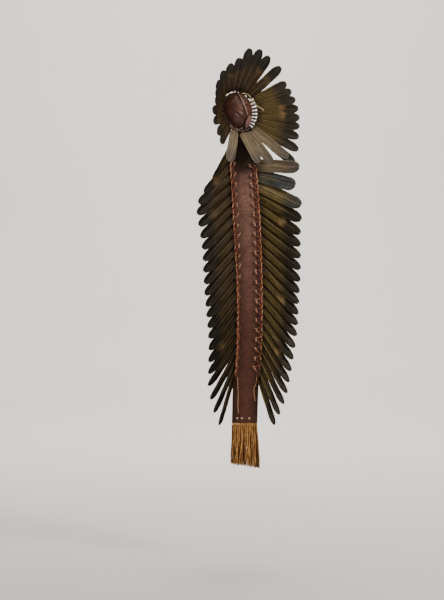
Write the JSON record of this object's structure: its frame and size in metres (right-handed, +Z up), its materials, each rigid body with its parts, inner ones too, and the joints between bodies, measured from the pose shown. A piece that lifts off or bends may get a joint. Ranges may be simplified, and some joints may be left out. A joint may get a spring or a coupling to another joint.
{
  "type": "feathered headdress of a statuette",
  "caption": "Cap ringed by a wide cone of feathers, with a long laced band hanging from the nape, edged with slanting feathers and ending in a cut fringe; cast and painted for a statuette.",
  "frame": {"origin": "centre of the cap's rim, where the cap sits on the head", "axes": "+Z up along the hanging band, +Y towards the front of the figure that wears it, +X to the right seen from behind"},
  "size_m": [0.1559, 0.0988, 0.6297],
  "materials": {
    "cap_leather": "glossy dark red-brown patina with soft folds, like oiled leather",
    "band_leather": "satin mauve-brown patina, like worn leather, redder towards the foot",
    "feather": "satin olive-gold patina with dark charcoal tips and pale quills",
    "nape_feather": "satin beige patina with grey tips",
    "thong": "orange-gold twisted thong with red-brown shadows",
    "stud": "pale pink satin",
    "fringe": "golden-tan strands",
    "knobbed_rod": "satin pinkish brown, slightly knobby",
    "rod_pad": "smooth satin mauve",
    "bare_quill": "satin khaki"
  },
  "bodies": {
    "root": {"cap": "cap_leather", "feather_left_1": "feather", "feather_left_2": "feather", "feather_left_3": "feather", "feather_left_4": "feather", "feather_left_5": "feather", "feather_left_6": "feather", "feather_left_7": "feather", "feather_crest_1": "feather", "feather_crest_2": "feather", "feather_crest_3": "feather", "feather_top_1": "feather", "feather_top_2": "feather", "feather_top_3": "feather", "feather_lone_1": "feather", "feather_right_1": "feather", "feather_right_2": "feather", "feather_right_3": "feather", "feather_right_4": "feather", "feather_right_5": "feather", "feather_right_6": "feather", "feather_low_1": "feather", "feather_low_2": "feather", "feather_low_3": "feather", "feather_nape_1": "nape_feather", "feather_nape_2": "nape_feather", "feather_nape_3": "nape_feather", "feather_nape_4": "nape_feather", "trail_band": "band_leather", "feather_row_left": "feather", "feather_row_right": "feather", "lace_left": "thong", "lace_right": "thong", "lace_tail_left": "thong", "lace_tail_right": "thong", "stud_left": "stud", "stud_middle": "stud", "stud_right": "stud", "fringe": "fringe", "knobbed_rod": "knobbed_rod", "rod_pad": "rod_pad", "bare_quill": "bare_quill"}
  },
  "joints": []
}
